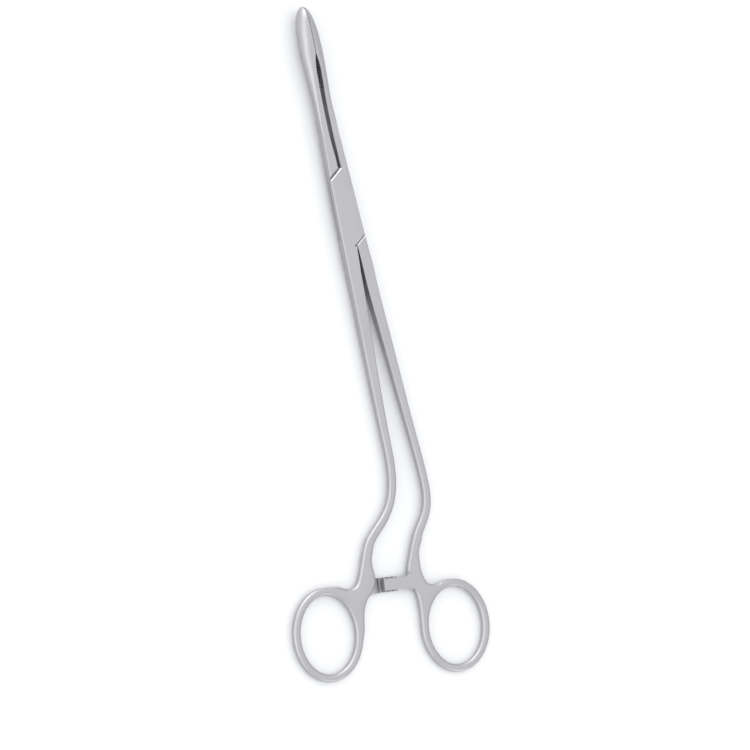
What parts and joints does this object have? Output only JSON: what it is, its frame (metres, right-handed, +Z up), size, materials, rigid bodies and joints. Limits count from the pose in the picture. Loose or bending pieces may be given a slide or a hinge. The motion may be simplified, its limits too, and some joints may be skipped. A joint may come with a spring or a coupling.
{
  "type": "dressing forceps",
  "caption": "Scissor-handled dressing forceps with a box lock, serrated spoon-shaped jaws, S-bent shanks set off to one side, a ratchet and two finger rings.",
  "frame": {"origin": "where the pivot axis meets the flat underside of the box lock", "axes": "+Z up along the pivot axis, +Y along the lock towards the jaw tips, +X towards the straight side, away from the offset handles"},
  "size_m": [0.0777, 0.25, 0.009],
  "materials": {
    "box_half": "satin stainless steel",
    "through_half": "satin stainless steel",
    "pivot_pin": "satin stainless steel, ground flush"
  },
  "bodies": {
    "box_side": {"box_half": "box_half", "pivot_pin": "pivot_pin"},
    "through_side": {"through_half": "through_half"}
  },
  "joints": [
    {"name": "box_lock_pivot", "type": "hinge", "parent": "box_side", "child": "through_side", "pos_m": [0, 0, 0], "axis": [0, 0, 1], "range_deg": [0, 48]}
  ]
}
